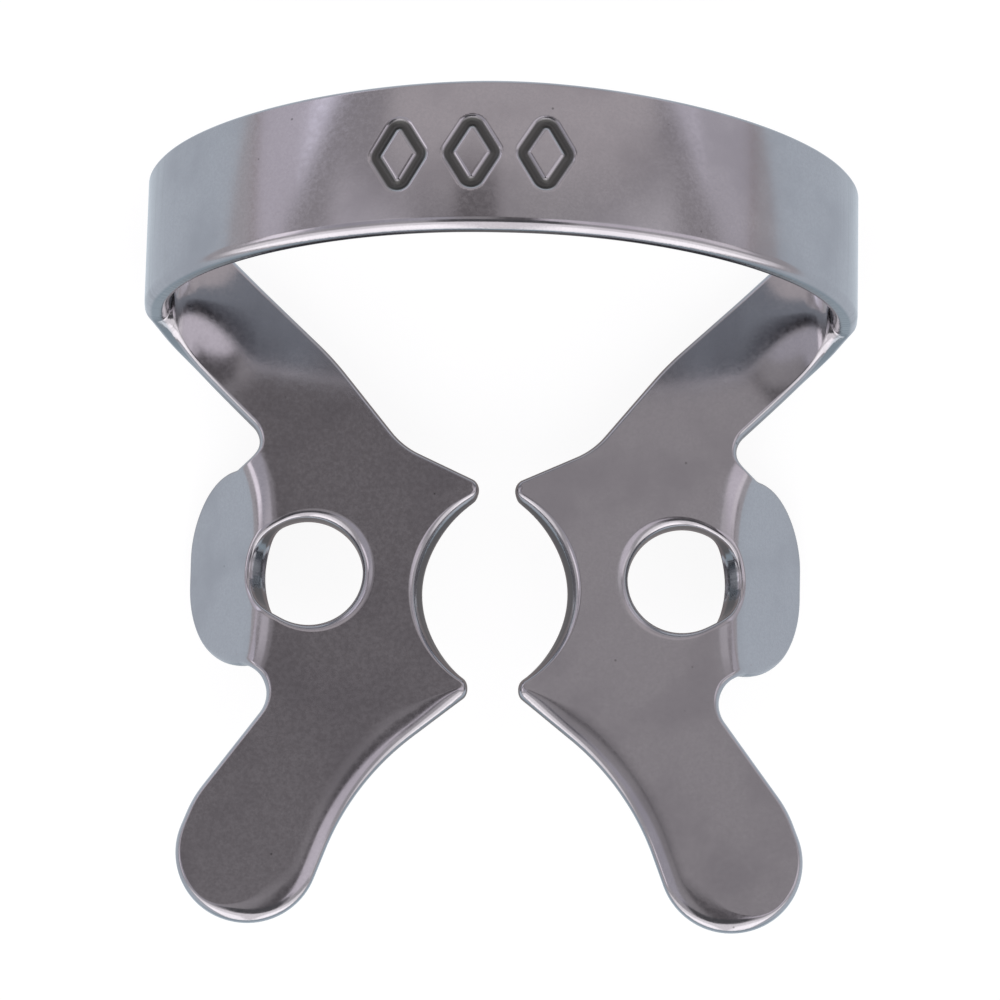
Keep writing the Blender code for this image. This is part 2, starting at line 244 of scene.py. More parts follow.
# Fineness of the visible mesh
ARC_STEP = math.radians(4)
OUTLINE_STEP = 0.13 * MM
FACE_STEP = 0.15 * MM
FACE_CLEARANCE = FACE_STEP * 0.55
MARK_STEP = 0.04 * MM
MARK_SURROUND = 2 * MARK_STROKE_RADIUS
EDGE_STEPS = 8
WALL_STEPS = 3
ARCH_STEPS = 6000
DERIVATIVE_STEP = 0.002 * MM
RING_CHUNK = 200
TRIANGULATION_TOLERANCE = 1e-7


def bow_arch():
    """Arc length along the arch from its start to its crown, with the half width and rise there."""
    rise = (BOW_HEIGHT - SHEET / 2) / math.cos(BOW_LEAN) - BOW_START
    angle = np.linspace(0, math.pi / 2, ARCH_STEPS)
    draw_in = 1 - BOW_SHOULDER * np.sin(2 * angle) ** 2
    out = BOW_HALF_WIDTH * np.cos(angle) * draw_in
    up = rise * np.sin(angle) * draw_in
    length = np.concatenate([[0], np.cumsum(np.hypot(np.diff(out), np.diff(up)))])
    return length, out, up


ARCH_LENGTH, ARCH_OUT, ARCH_UP = bow_arch()
ARCH_SLOPE_OUT = np.gradient(ARCH_OUT, ARCH_LENGTH)
ARCH_SLOPE_UP = np.gradient(ARCH_UP, ARCH_LENGTH)
HALF_BOW = ARCH_LENGTH[-1]
LEG_FOOT_ALONG = HALF_BOW + BOW_START


def plate_to_blank(out, back):
    """Blank coordinates of a place in plate coordinates, which the bow's lean turns."""
    height = out - LEG_ZERO
    up = back * math.sin(BOW_LEAN) + height * math.cos(BOW_LEAN)
    across = back * math.cos(BOW_LEAN) - height * math.sin(BOW_LEAN)
    return HALF_BOW + BOW_START - up, across


def blank_to_plate(along, across):
    """Plate coordinates of a place in blank coordinates."""
    up = HALF_BOW + BOW_START - along
    height = up * math.cos(BOW_LEAN) - across * math.sin(BOW_LEAN)
    return LEG_ZERO + height, across * math.cos(BOW_LEAN) + up * math.sin(BOW_LEAN)


def corner_sides(corners, index):
    """One corner of an outline, the sides that leave it as vectors, and half the angle between them."""
    corner = np.array(corners[index][:2])
    before = np.array(corners[index - 1][:2]) - corner
    after = np.array(corners[(index + 1) % len(corners)][:2]) - corner
    cosine = before @ after / np.linalg.norm(before) / np.linalg.norm(after)
    return corner, before, after, math.acos(np.clip(cosine, -1, 1)) / 2


def fillet_reach(corners, index):
    """How far along its two sides a corner's fillet runs."""
    return corners[index][2] / math.tan(corner_sides(corners, index)[3])


def fitted_radius(corners, index):
    """The corner's radius, smaller where its fillet and a neighbour's would overlap on their side."""
    _, before, after, _ = corner_sides(corners, index)
    own = fillet_reach(corners, index)
    share = 1.0
    for side, neighbour in ((before, index - 1), (after, (index + 1) % len(corners))):
        share = min(share, np.linalg.norm(side) / (own + fillet_reach(corners, neighbour)))
    return corners[index][2] * share


def corner_arc(corners, index):
    """The centre of the arc that rounds one corner, and the arc's two ends seen from there."""
    corner, before, after, half = corner_sides(corners, index)
    radius = fitted_radius(corners, index)
    before /= np.linalg.norm(before)
    after /= np.linalg.norm(after)
    middle = (before + after) / np.linalg.norm(before + after)
    centre = corner + middle * radius / math.sin(half)
    first = corner + before * radius / math.tan(half) - centre
    last = corner + after * radius / math.tan(half) - centre
    return centre, first, last


def fine_ring(corners):
    """Points of a closed outline with rounded corners, each with its direction outward and its room.

    The room is how wide a rounding can be there: the radius on an outward arc, and endless elsewhere.
    """
    area = sum(
        here[0] * after[1] - here[1] * after[0]
        for here, after in zip(corners, [*corners[1:], corners[0]])
    )
    points, away, room = [], [], []

    def run_to(target):
        """Adds points along the straight side from the last point to just short of the target."""
        begin, side = points[-1], away[-1]
        gap = target - begin
        count = math.ceil(np.linalg.norm(gap) / OUTLINE_STEP)
        for step in range(1, count):
            points.append(begin + gap * step / count)
            away.append(side)
            room.append(math.inf)
        return count

    for index in range(len(corners)):
        centre, first, last = corner_arc(corners, index)
        radius = np.linalg.norm(first)
        turn = math.atan2(first[0] * last[1] - first[1] * last[0], first @ last)
        convex = math.copysign(1, turn * area)
        steps = max(2, math.ceil(abs(turn) / ARC_STEP), math.ceil(abs(turn) * radius / OUTLINE_STEP))
        start = math.atan2(first[1], first[0])
        arc = [start + turn * step / steps for step in range(steps + 1)]
        spokes = [np.array([math.cos(angle), math.sin(angle)]) for angle in arc]
        if points and run_to(centre + radius * spokes[0]) == 0:
            spokes = spokes[1:]
        for spoke in spokes:
            points.append(centre + radius * spoke)
            away.append(convex * spoke)
            room.append(radius if convex > 0 else math.inf)
    run_to(points[0])
    return np.array(points), np.array(away), np.array(room)


def on_grip(points):
    """Which points of the blank's outline belong to a gripping edge's hollow."""
    out, back = blank_to_plate(np.abs(points[:, 0]), points[:, 1])
    centre, rim, _ = corner_arc(INNER_CORNERS, GRIP_CORNER)
    return np.hypot(out - centre[0], back - centre[1]) < np.linalg.norm(rim) + ROUND_GRIP / 2


def blank_ring():
    """The whole blank's outline, with the reach and drop of its rounding above and below."""
    jaw = INNER_CORNERS + OUTER_CORNERS
    right = [(*plate_to_blank(out, back), radius) for out, back, radius in jaw]
    left = [(-along, across, radius) for along, across, radius in reversed(right)]
    rear_middle = (0, BOW_BACK_AT_CROWN, CROWN_BLEND)
    front_middle = (0, BOW_FRONT_AT_CROWN, CROWN_BLEND)
    points, away, room = fine_ring([rear_middle, *right, front_middle, *left])
    inward = away[:, 0] * np.sign(points[:, 0])
    facing = np.stack([inward, away[:, 1]], axis=1) @ ROUND_TOWARDS
    wanted = ROUND_LEAST + (ROUND_MOST - ROUND_LEAST) * np.maximum(facing, 0) ** 2
    wanted = np.minimum(wanted, room * ROOM_SHARE)
    wanted = np.where(np.abs(points[:, 0]) < LEG_FOOT_ALONG, np.minimum(wanted, ROUND_BOW), wanted)
    wanted = np.where(on_grip(points), ROUND_GRIP, wanted)
    gaps = np.linalg.norm(points[:, None, :] - points[None, :, :], axis=2)
    reach = (wanted[None, :] + ROUND_GROWTH * gaps).min(axis=1)
    drop = np.full(len(points), EDGE_RADIUS)
    return points, away, (reach, drop), (reach, drop)


def hole_rounding(inward):
    """How far a hole's rounding reaches on the rim, from its outer side (-1) to its inner side (1)."""
    return HOLE_ROUND_OUTER + (HOLE_ROUND_INNER - HOLE_ROUND_OUTER) * ease(0.5 + inward / 2)


def hole_ring(side):
    """A forceps hole, with the reach and drop of its rounding above and below."""
    along, across = plate_to_blank(HOLE_OUT, 0)
    count = math.ceil(2 * math.pi * HOLE_RADIUS / (OUTLINE_STEP / 2))
    angles = np.arange(count) * 2 * math.pi / count
    spokes = np.stack([np.cos(angles), np.sin(angles)], axis=1)
    reach = hole_rounding(side * spokes[:, 0])
    below = np.full(count, HOLE_ROUND_BELOW)
    points = np.array([side * along, across]) + HOLE_RADIUS * spokes
    return points, -spokes, (reach, reach * HOLE_ROUND_DROP), (below, below)


def in_hole(spot):
    """Whether a spot of the blank lies inside the rounding of a forceps hole."""
    along, across = plate_to_blank(HOLE_OUT, 0)
    distance = math.hypot(abs(spot[0]) - along, spot[1] - across)
    inward = (abs(spot[0]) - along) / distance
    return distance < HOLE_RADIUS + hole_rounding(inward)


def mark_lines():
    """The centre lines of the stamped marks, in blank coordinates."""
    across = (BOW_FRONT_AT_CROWN + BOW_BACK_AT_CROWN) / 2
    for index in range(MARK_COUNT):
        along = MARK_SHIFT + MARK_PITCH * (index - (MARK_COUNT - 1) / 2)
        corners = [
            (along - MARK_HALF_WIDTH, across, MARK_CORNER_RADIUS),
            (along, across - MARK_HALF_HEIGHT, MARK_CORNER_RADIUS),
            (along + MARK_HALF_WIDTH, across, MARK_CORNER_RADIUS),
            (along, across + MARK_HALF_HEIGHT, MARK_CORNER_RADIUS),
        ]
        yield fine_ring(corners)[0]


MARK_LINES = list(mark_lines())


def distance_to_ring(points, ring):
    """How far each point lies from a closed line."""
    best = np.full(len(points), np.inf)
    for start, end in zip(ring, np.roll(ring, -1, axis=0)):
        side = end - start
        share = np.clip((points - start) @ side / (side @ side), 0, 1)
        best = np.minimum(best, np.linalg.norm(points - start - share[:, None] * side, axis=1))
    return best


def near_marks(points, reach):
    """Which points lie in the rectangle round the stamped marks."""
    middle = (BOW_FRONT_AT_CROWN + BOW_BACK_AT_CROWN) / 2
    half = MARK_PITCH * (MARK_COUNT - 1) / 2 + MARK_HALF_WIDTH + reach
    inside = np.abs(points[:, 0] - MARK_SHIFT) < half
    return inside & (np.abs(points[:, 1] - middle) < MARK_HALF_HEIGHT + reach)


def mark_depth(points):
    """How deep the stamp presses the outer face at each point."""
    depth = np.zeros(len(points))
    near = near_marks(points, MARK_REACH)
    if not near.any():
        return depth
    away = np.min([distance_to_ring(points[near], line) for line in MARK_LINES], axis=0)
    depth[near] = MARK_DEPTH * (1 - ease(away / MARK_REACH))
    return depth


def stamp(points):
    """Presses the marks into the sheet's lower face, which the folds make the bow's outer one."""
    share = np.clip(0.5 - points[:, 2] / SHEET, 0, 1)
    pressed = points.copy()
    pressed[:, 2] += mark_depth(points[:, :2]) * share
    return pressed


def crown(points):
    """Lowers the bow's outer face towards its two edges."""
    middle = (BOW_FRONT_AT_CROWN + BOW_BACK_AT_CROWN) / 2
    half = (BOW_BACK_AT_CROWN - BOW_FRONT_AT_CROWN) / 2
    on_bow = ease((HALF_BOW - np.abs(points[:, 0])) / BOW_START)
    outer = np.clip(0.5 - points[:, 2] / SHEET, 0, 1)
    lowered = points.copy()
    lowered[:, 2] += CROWN * ((points[:, 1] - middle) / half) ** 2 * on_bow * outer
    return lowered


def bevel_grip(points):
    """Draws the lower side of each gripping edge out, so that the edge slopes towards the tooth."""
    out, back = blank_to_plate(np.abs(points[:, 0]), points[:, 1])
    (centre_out, centre_back), rim, _ = corner_arc(INNER_CORNERS, GRIP_CORNER)
    away = np.hypot(out - centre_out, back - centre_back)
    end = np.abs(back - centre_back) / GRIP_BEVEL_END
    past = (away - np.linalg.norm(rim)) / GRIP_BEVEL_DEPTH
    fade = np.clip(1 - end ** 4, 0, 1) * (1 - ease(past))
    depth = (SHEET / 2 - points[:, 2]) / SHEET
    near = (away < 2 * GRIP_RADIUS) & (out > 0)
    shift = np.where(near, GRIP_BEVEL * fade * depth / np.maximum(away, MM), 0)
    out = out + (centre_out - out) * shift
    back = back + (centre_back - back) * shift
    along, across = plate_to_blank(out, back)
    return np.stack([np.copysign(along, points[:, 0]), across, points[:, 2]], axis=1)


def through_bend(distance, path):
    """How far out and up a bend takes a point of the sheet's middle, and how far it has turned there."""
    length, run, rise, turn = path
    inside = np.clip(distance, 0, length[-1])
    over = np.maximum(distance - length[-1], 0)
    out = np.interp(inside, length, run) + np.minimum(distance, 0) + over * math.cos(turn[-1])
    up = np.interp(inside, length, rise) + over * math.sin(turn[-1])
    return out, up, np.interp(inside, length, turn)


def curl(out, back):
    """How far the front side of each arm curls up ahead of its fold, as a pressed bend does."""
    top = FOOT_START + FOOT_LENGTH / 2
    rise = ease((out - CURL_START) / (top - CURL_START))
    fall = ease((LEG_ZERO + CURL_END - out) / (LEG_ZERO + CURL_END - top))
    front = ease((back - ARM_SPLIT) / CURL_FRONT_FADE)
    rear = ease((CURL_REAR - back) / CURL_REAR_FADE)
    return CURL * rise * fall * front * rear


def fold(points):
    """Where the fold takes each point of the flat blank, in plate coordinates with Z up."""
    along = np.abs(points[:, 0])
    across = points[:, 1]
    height = points[:, 2]
    out, back = blank_to_plate(along, across)

    # Wing, down, on a bend that runs out into the notches beside it
    start = WING_START + WING_RUN_OUT * (back / WING_RUN_OUT_AT) ** 4
    run, drop, turn = through_bend(out - start, WING_PATH)
    wing_out = start + run + height * np.sin(turn)
    wing_up = height * np.cos(turn) - drop
    has_wing = np.abs(back) < WING_RUN_OUT_AT + EDGE_RADIUS

    # Foot, up into the leg
    run, rise, turn = through_bend(out - FOOT_START, FOOT_PATH)
    foot_out = FOOT_START + run - height * np.sin(turn)
    foot_up = rise + height * np.cos(turn) + curl(out, back)
    has_foot = back > ARM_SPLIT

    x = np.where(has_foot, foot_out, np.where(has_wing, wing_out, out))
    y = back.copy()
    z = np.where(has_foot, foot_up, np.where(has_wing, wing_up, height))

    # Bow, round the arch
    run = HALF_BOW - along
    slope_out = np.interp(run, ARCH_LENGTH, ARCH_SLOPE_OUT)
    slope_up = np.interp(run, ARCH_LENGTH, ARCH_SLOPE_UP)
    bow_out = np.interp(run, ARCH_LENGTH, ARCH_OUT) - slope_up * height
    bow_up = BOW_START + np.interp(run, ARCH_LENGTH, ARCH_UP) + slope_out * height
    on_bow = run > 0
    x = np.where(on_bow, bow_out, x)
    y = np.where(on_bow, across * math.cos(BOW_LEAN) + bow_up * math.sin(BOW_LEAN), y)
    z = np.where(on_bow, bow_up * math.cos(BOW_LEAN) - across * math.sin(BOW_LEAN), z)
    return np.stack([np.where(points[:, 0] < 0, -x, x), y, z], axis=1)


def shape(points):
    """The whole forming of the flat blank: crown, stamp, bevel and fold."""
    return fold(bevel_grip(crown(stamp(points))))


def shaped_normals(points, normals):
    """The normals of the formed surface, from how the forming stretches and turns each spot."""
    columns = []
    for axis in np.eye(3):
        step = axis * DERIVATIVE_STEP
        columns.append((shape(points + step) - shape(points - step)) / (2 * DERIVATIVE_STEP))
    along, across, up = columns
    cofactor = np.stack([np.cross(across, up), np.cross(up, along), np.cross(along, across)], axis=1)
    turned = np.einsum("nij,ni->nj", cofactor, normals)
    return turned / np.linalg.norm(turned, axis=1)[:, None]


def edge_rows(points, away, above, below):
    """Rows of points and normals down the sheet's edge: a rounding, a straight wall and a rounding."""
    def row(reach, drop, angle, side):
        power = 2 + ease((reach - ROUND_BOW) / (ROUND_MOST - ROUND_BOW))
        share = math.sin(angle) ** (2 / power)
        inset = reach * (1 - share)
        fall = max(math.cos(angle), 0) ** (2 / power)
        height = side * (SHEET / 2 - drop * (1 - fall))
        outward = drop * share ** (power - 1)
        rise = side * reach * fall ** (power - 1)
        length = np.hypot(outward, rise)
        spots = np.hstack([points - inset[:, None] * away, height[:, None]])
        return spots, np.hstack([(outward / length)[:, None] * away, (rise / length)[:, None]])

    quarter = [math.pi / 2 * step / EDGE_STEPS for step in range(1, EDGE_STEPS + 1)]
    upper = [row(*above, angle, 1) for angle in quarter]
    lower = [row(*below, angle, -1) for angle in reversed(quarter)]
    top, bottom = upper[-1][0], lower[0][0]
    wall = [(top + (bottom - top) * step / WALL_STEPS, upper[-1][1]) for step in range(1, WALL_STEPS)]
    return upper + wall + lower


def face_grid(rings):
    """Points spread over the sheet's face, close together round the marks, and clear of the outlines."""
    low = rings[0].min(axis=0)
    high = rings[0].max(axis=0)
    grids = []
    for step in (FACE_STEP, MARK_STEP):
        rows = np.arange(low[1], high[1], step * math.sqrt(3) / 2)
        columns = np.arange(low[0], high[0], step)
        x, y = np.meshgrid(columns, rows)
        x = x + (np.arange(len(rows)) % 2)[:, None] * step / 2
        grid = np.stack([x.ravel(), y.ravel()], axis=1)
        fine = near_marks(grid, MARK_SURROUND)
        grids.append(grid[fine if step == MARK_STEP else ~fine])
    points = np.concatenate(grids)
    clear = np.ones(len(points), bool)
    for ring in rings:
        for chunk in np.array_split(ring, math.ceil(len(ring) / RING_CHUNK)):
            gap = np.linalg.norm(points[:, None, :] - chunk[None, :, :], axis=2).min(axis=1)
            clear &= gap > FACE_CLEARANCE
    return points[clear]


def flat_sheet():
    """The flat blank as points, normals and faces, with round edges."""
    outlines = [blank_ring(), hole_ring(-1), hole_ring(1)]
    inner = [points - above[0][:, None] * away for points, away, above, _ in outlines]
    grid = face_grid(inner)
    flat = np.concatenate([*inner, grid])
    edges = []
    start = 0
    for ring in inner:
        count = len(ring)
        edges += [(start + index, start + (index + 1) % count) for index in range(count)]
        start += count
    keep_inside = 1
    spots, _, faces, origins, _, _ = geometry.delaunay_2d_cdt(
        [Vector(spot / MM) for spot in flat], edges, [], keep_inside, TRIANGULATION_TOLERANCE
    )
    middles = [np.mean([spots[corner] for corner in face], axis=0) * MM for face in faces]
    faces = [face for face, middle in zip(faces, middles) if not in_hole(middle)]
    used = sorted({corner for face in faces for corner in face})
    number = {corner: index for index, corner in enumerate(used)}
    spots = np.array([spots[corner] for corner in used]) * MM
    faces = [[number[corner] for corner in face] for face in faces]
    place = {origin: number[corner] for corner in used for origin in origins[corner]}

    count = len(spots)
    up = np.tile([0.0, 0.0, 1.0], (count, 1))
    height = np.full((count, 1), SHEET / 2)
    under = spots.copy()
    start = 0
    for ring, away, _, below in outlines:
        for index in range(len(ring)):
            under[place[start + index]] = ring[index] - below[0][index] * away[index]
        start += len(ring)
    points = [np.hstack([spots, height]), np.hstack([under, -height])]
    normals = [up, -up]
    polygons = []
    for face in faces:
        a, b, c = (spots[corner] for corner in face)
        left = (b[0] - a[0]) * (c[1] - a[1]) - (b[1] - a[1]) * (c[0] - a[0]) > 0
        top = face if left else face[::-1]
        polygons += [top, [corner + count for corner in reversed(top)]]

    total = 2 * count
    start = 0
    for ring, away, above, below in outlines:
        size = len(ring)
        rows = [[place[start + index] for index in range(size)]]
        for row_points, row_normals in edge_rows(ring, away, above, below):
            points.append(row_points)
            normals.append(row_normals)
            rows.append(list(range(total, total + size)))
            total += size
        rows.append([place[start + index] + count for index in range(size)])
        follow = np.roll(ring, -1, axis=0) - ring
        anticlockwise = (follow[:, 0] * away[:, 1] - follow[:, 1] * away[:, 0]).sum() < 0
        for upper, lower in zip(rows, rows[1:]):
            for index in range(size):
                after = (index + 1) % size
                quad = [upper[index], lower[index], lower[after], upper[after]]
                polygons.append(quad if anticlockwise else quad[::-1])
        start += size
    return np.concatenate(points), np.concatenate(normals), polygons


def rest_turn():
    """The turn about X from the plate's frame to the resting clamp's, from the paddle's face."""
    axis = frame["record"]["mounts"][0]["axis"]
    return Matrix.Rotation(-math.atan2(axis[1], axis[2]), 3, "X")


def clamp():
    """The visible clamp: the flat blank, formed and laid at rest in the solid's box."""
    flat, flat_normals, polygons = flat_sheet()
    points = shape(flat)
    normals = shaped_normals(flat, flat_normals)
    turn = np.array(rest_turn())
    points = points @ turn.T
    normals = normals @ turn.T
    middle = (points[:, 1].min() + points[:, 1].max()) / 2
    points -= (0, middle, points[:, 2].min())
    # The fuller edges would reach a hair past the solid's chamfered ones
    room = np.array(cad_box[1]) - np.array(cad_box[0])
    points *= np.minimum(1, room / (points.max(axis=0) - points.min(axis=0)))
    # Blank coordinates run inward along the jaws, which mirrors the sheet: its faces and normals turn round
    polygons = [list(reversed(face)) for face in polygons]
    mesh = bpy.data.meshes.new("clamp")
    mesh.from_pydata(points.tolist(), [], polygons)
    mesh.shade_smooth()
    mesh.validate()
    mesh.normals_split_custom_set_from_vertices((-normals).tolist())
    blank = mesh.attributes.new("blank", "FLOAT_VECTOR", "POINT")
    blank.data.foreach_set("vector", (flat / MM).astype(np.float32).ravel())
    stamped = mesh.attributes.new("stamped", "FLOAT", "POINT")
    depth = np.where(flat[:, 2] < 0, mark_depth(flat[:, :2]) / MARK_DEPTH, 0)
    stamped.data.foreach_set("value", depth.astype(np.float32))
    piece = bpy.data.objects.new("clamp", mesh)
    bpy.context.scene.collection.objects.link(piece)
    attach(piece, "root")
    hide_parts("clamp_body")
    return piece


# Steel. Scales are in waves for each millimetre of the flat blank, which the "blank" attribute gives, in
# all directions or along, across and through it. Heights are those of the bumps. A RANGE or CONTRAST is
# where a noise, or the stamp's depth as a share, starts to show and where it shows in full.
STEEL_BRIGHT = (0.47, 0.457, 0.472, 1)
STEEL_DULL = (0.44, 0.427, 0.443, 1)
STEEL_CLOUDED = (0.40, 0.387, 0.405, 1)
CLOUD_SCALE = 0.5
CLOUD_RANGE = (0.42, 0.72)
MARK_COLOR = (0.10, 0.10, 0.095, 1)
MARK_RANGE = (0.12, 0.6)
ROUGHNESS_LEAST = 0.12
ROUGHNESS_MOST = 0.17
MARK_ROUGHNESS = 0.42
MOTTLE_SCALE = 17
MOTTLE_CONTRAST = (0.3, 0.7)
WAVE_SCALE = 0.3
WAVE_HEIGHT = 0.0035 * MM
GRAIN_SCALE = 14
GRAIN_HEIGHT = 0.00025 * MM
CAMBER = math.tan(math.radians(2))

# Streaks at the bow's ends, where the sheet is drawn round. They come in between STREAK_FROM and
# STREAK_FULL millimetres from the crown, and go within STREAK_FADE millimetres of the foot.
STREAK_SCALE = (7, 0.25, 0.25)
STREAK_RANGE = (0.45, 0.75)
STREAK_HEIGHT = 0.003 * MM
STREAK_DARK = 0.22
STREAK_FROM = 9.0
STREAK_FULL = 12.0
STREAK_FADE = 1

# Cut edge, which shows within CUT_HALF millimetres of the sheet's middle. Its darker colour is partly the
# rough cut steel and partly painted shade, standing in for the dark that the walls reflect
CUT_SCALE = (9, 9, 0.6)
CUT_HEIGHT = 0.01 * MM
CUT_HALF = 0.2
CUT_AND_SHADE_COLOR = (0.23, 0.26, 0.28, 1)
CUT_AND_SHADE_SHARE = 0.8

# Pits: how far the dark reaches from a pit's middle, in cells of the pattern, and how far it is full
PIT_SCALE = 1.1
PIT_SIZE = 0.05
PIT_CORE = PIT_SIZE * 0.4
PIT_DARK = 0.55


def steel():
    """Polished spring steel: mottled, gently wavy, streaked where drawn, pitted, and dark in the marks."""
    material = bpy.data.materials.new("spring_steel")
    material.use_nodes = True
    nodes = material.node_tree.nodes
    links = material.node_tree.links
    shader = nodes["Principled BSDF"]
    shader.inputs["Metallic"].default_value = 1

    def fill(socket, value):
        """Links a node's output to the socket, or sets a plain value."""
        if isinstance(value, bpy.types.NodeSocket):
            links.new(value, socket)
        else:
            socket.default_value = value

    def attribute(name):
        node = nodes.new("ShaderNodeAttribute")
        node.attribute_name = name
        return node

    def number(operation, first, second):
        node = nodes.new("ShaderNodeMath")
        node.operation = operation
        fill(node.inputs[0], first)
        fill(node.inputs[1], second)
        return node.outputs[0]

    def noise(scale, detail):
        """Noise on the flat blank, with so many waves a millimetre along, across and through it."""
        stretch = nodes.new("ShaderNodeVectorMath")
        stretch.operation = "MULTIPLY"
        links.new(place, stretch.inputs[0])
        stretch.inputs[1].default_value = scale if isinstance(scale, tuple) else (scale,) * 3
        node = nodes.new("ShaderNodeTexNoise")
        node.inputs["Scale"].default_value = 1
        node.inputs["Detail"].default_value = detail
        links.new(stretch.outputs[0], node.inputs["Vector"])
        return node.outputs["Fac"]

    def spread(value, low, high, to_low, to_high):
        """The value, taken smoothly from one range to another."""
        node = nodes.new("ShaderNodeMapRange")
        node.interpolation_type = "SMOOTHSTEP"
        names = ("Value", "From Min", "From Max", "To Min", "To Max")
        for name, given in zip(names, (value, low, high, to_low, to_high)):
            fill(node.inputs[name], given)
        return node.outputs["Result"]

    def blend(share, under, over):
        """One colour over another."""
        node = nodes.new("ShaderNodeMix")
        node.data_type = "RGBA"
        factor, under_socket, over_socket = node.inputs[0], node.inputs[6], node.inputs[7]
        for socket, given in ((factor, share), (under_socket, under), (over_socket, over)):
            fill(socket, given)
        return node.outputs[2]

    def bump(height, distance, under):
        """The normal with a bump so high, on top of the normal under it."""
        node = nodes.new("ShaderNodeBump")
        node.inputs["Distance"].default_value = distance
        fill(node.inputs["Height"], height)
        if under:
            links.new(under, node.inputs["Normal"])
        return node.outputs["Normal"]

    place = attribute("blank").outputs["Vector"]
    parts = nodes.new("ShaderNodeSeparateXYZ")
    links.new(place, parts.inputs[0])
    along, _, through = parts.outputs
    mark = spread(attribute("stamped").outputs["Fac"], *MARK_RANGE, 0, 1)

    # Where the sheet is drawn round the bow's ends, and where its cut edge shows
    foot = LEG_FOOT_ALONG / MM
    from_crown = number("ABSOLUTE", along, 0)
    drawn = number(
        "MULTIPLY",
        spread(from_crown, STREAK_FROM, STREAK_FULL, 0, 1),
        spread(from_crown, foot, foot - STREAK_FADE, 0, 1),
    )
    cut = spread(number("ABSOLUTE", through, 0), CUT_HALF, CUT_HALF / 2, 0, 1)

    # Each jaw falls away outward by a hair
    inward = number("MAXIMUM", number("SUBTRACT", from_crown, foot), 0)

    pits = nodes.new("ShaderNodeTexVoronoi")
    pits.inputs["Scale"].default_value = PIT_SCALE
    links.new(place, pits.inputs["Vector"])
    pit = spread(pits.outputs["Distance"], PIT_SIZE, PIT_CORE, 0, 1)

    mottle = spread(noise(MOTTLE_SCALE, detail=4), *MOTTLE_CONTRAST, 0, 1)
    color = blend(mottle, STEEL_DULL, STEEL_BRIGHT)
    cloud = spread(noise(CLOUD_SCALE, detail=3), *CLOUD_RANGE, 0, 1)
    color = blend(cloud, color, STEEL_CLOUDED)
    streaks = noise(STREAK_SCALE, detail=2)
    dark_streaks = number("MULTIPLY", spread(streaks, *STREAK_RANGE, 0, STREAK_DARK), drawn)
    color = blend(dark_streaks, color, MARK_COLOR)
    color = blend(number("MULTIPLY", pit, PIT_DARK), color, MARK_COLOR)
    # Cut edges darkened: partly rough cut steel, partly painted shade
    color = blend(number("MULTIPLY", cut, CUT_AND_SHADE_SHARE), color, CUT_AND_SHADE_COLOR)
    color = blend(mark, color, MARK_COLOR)
    links.new(color, shader.inputs["Base Color"])
    rough = spread(noise(MOTTLE_SCALE / 2, detail=3), *MOTTLE_CONTRAST, ROUGHNESS_LEAST, ROUGHNESS_MOST)
    links.new(spread(mark, 0, 1, rough, MARK_ROUGHNESS), shader.inputs["Roughness"])

    normal = bump(inward, CAMBER * MM, None)
    normal = bump(noise(WAVE_SCALE, detail=1), WAVE_HEIGHT, normal)
    normal = bump(noise(GRAIN_SCALE, detail=3), GRAIN_HEIGHT, normal)
    normal = bump(number("MULTIPLY", streaks, drawn), STREAK_HEIGHT, normal)
    normal = bump(number("MULTIPLY", noise(CUT_SCALE, detail=2), cut), CUT_HEIGHT, normal)
    links.new(normal, shader.inputs["Normal"])
    return material


# Camera, straight above the resting clamp
CAMERA_TARGET = Vector((0, 0, 3 * MM))
CAMERA_DISTANCE = 200 * MM
CAMERA_ROLL = math.radians(-1.257)
CAMERA_ASIDE = 0.084 * MM
CAMERA_RISE = 0.185 * MM
PIXELS_PER_METRE = 38908
FRAME_PIXELS = 1000
SENSOR = 36
CLIP_START = 10 * MM
CLIP_END = 5


def camera():
    """The camera, rolled and moved aside to the photo's framing."""
    towards = Vector((0, 0, 1))
    right = Vector((math.cos(CAMERA_ROLL), -math.sin(CAMERA_ROLL), 0))
    top = Vector((math.sin(CAMERA_ROLL), math.cos(CAMERA_ROLL), 0))
    data = bpy.data.cameras.new("camera")
    data.sensor_width = SENSOR
    data.lens = SENSOR * PIXELS_PER_METRE * CAMERA_DISTANCE / FRAME_PIXELS
    data.clip_start = CLIP_START
    data.clip_end = CLIP_END
    item = bpy.data.objects.new("camera", data)
    spot = CAMERA_TARGET + CAMERA_ASIDE * right + CAMERA_RISE * top + CAMERA_DISTANCE * towards
    item.matrix_world = Matrix.Translation(spot) @ Matrix((right, top, towards)).transposed().to_4x4()
    bpy.context.scene.collection.objects.link(item)
    bpy.context.scene.camera = item


# Floor. To the camera it glows, and FLOOR_SEEN_SHADE is what the object's shadow dims. In the steel it
# carries a
# painted shadow: darkest within UNDER_RADIUS of the object's middle, it reaches its full brightness at
# UNDER_FADE.
FLOOR_HALF = 0.6
FLOOR_COLOR = (0.90, 0.91, 0.93, 1)
FLOOR_SEEN = (1.0, 1.0, 1.0, 1)
FLOOR_SEEN_GLOW = 0.88
FLOOR_SEEN_SHADE = (0.18, 0.18, 0.18, 1)
FLOOR_MIRRORED = (0.71, 0.79, 0.87, 1)
FLOOR_MIRRORED_PAINTED_SHADOW = (0.34, 0.31, 0.31, 1)
UNDER_RADIUS = 6 * MM
UNDER_FADE = 9.5 * MM


